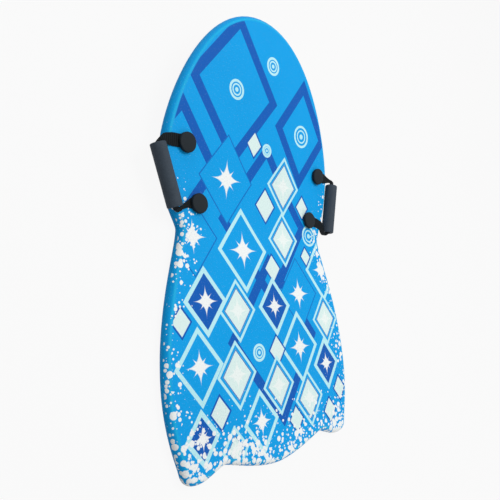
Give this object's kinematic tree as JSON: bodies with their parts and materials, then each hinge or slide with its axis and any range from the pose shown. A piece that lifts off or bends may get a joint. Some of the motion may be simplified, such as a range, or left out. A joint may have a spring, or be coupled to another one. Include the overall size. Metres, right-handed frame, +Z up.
{
  "type": "foam snow sled",
  "caption": "Foam snow sled with a lifted nose, scalloped tail, printed deck, slick underside and a webbing handle with a foam grip at each side.",
  "frame": {"origin": "centre of the bounding box at the level surface that the slick rests on", "axes": "+Z up, square to the flat rear half of the deck; +Y along the centre line toward the nose; +X to the rider's right"},
  "size_m": [0.5584, 0.9121, 0.1048],
  "materials": {
    "printed_film": "azure printed film, fine pebble grain, semi-gloss",
    "foam": "pale blue closed-cell foam, matt",
    "slick_sheet": "smooth blue sheet, semi-gloss",
    "cap_plastic": "black moulded plastic, matt",
    "webbing": "black ribbed polyester webbing",
    "grip_foam": "charcoal closed-cell foam tube, matt",
    "screw_steel": "zinc-plated screw"
  },
  "bodies": {
    "board": {"foam_core": "foam", "top_skin": "printed_film", "bottom_slick": "slick_sheet", "left_front_cap": "cap_plastic", "left_front_washer": "cap_plastic", "left_front_screw": "screw_steel", "left_front_strap_end": "webbing", "left_rear_cap": "cap_plastic", "left_rear_washer": "cap_plastic", "left_rear_screw": "screw_steel", "left_rear_strap_end": "webbing", "right_front_cap": "cap_plastic", "right_front_washer": "cap_plastic", "right_front_screw": "screw_steel", "right_front_strap_end": "webbing", "right_rear_cap": "cap_plastic", "right_rear_washer": "cap_plastic", "right_rear_screw": "screw_steel", "right_rear_strap_end": "webbing"},
    "left_handle": {"left_strap": "webbing"},
    "left_grip_tube": {"left_grip": "grip_foam"},
    "right_handle": {"right_strap": "webbing"},
    "right_grip_tube": {"right_grip": "grip_foam"}
  },
  "joints": [
    {"name": "left_handle_swing", "type": "hinge", "parent": "board", "child": "left_handle", "pos_m": [-0.20758, 0.09484, 0.0379], "axis": [-0.2811, 0.9496, 0.1386], "range_deg": [0, 90]},
    {"name": "left_grip_turn", "type": "hinge", "parent": "left_handle", "child": "left_grip_tube", "pos_m": [-0.24847, 0.08707, 0.04301], "axis": [-0.3035, 0.9503, 0.0695], "continuous": true},
    {"name": "right_handle_swing", "type": "hinge", "parent": "board", "child": "right_handle", "pos_m": [0.20758, 0.09484, 0.0379], "axis": [-0.2811, -0.9496, -0.1386], "range_deg": [0, 90]},
    {"name": "right_grip_turn", "type": "hinge", "parent": "right_handle", "child": "right_grip_tube", "pos_m": [0.2556, 0.08375, 0.03688], "axis": [0.1622, 0.9792, 0.1214], "continuous": true}
  ]
}
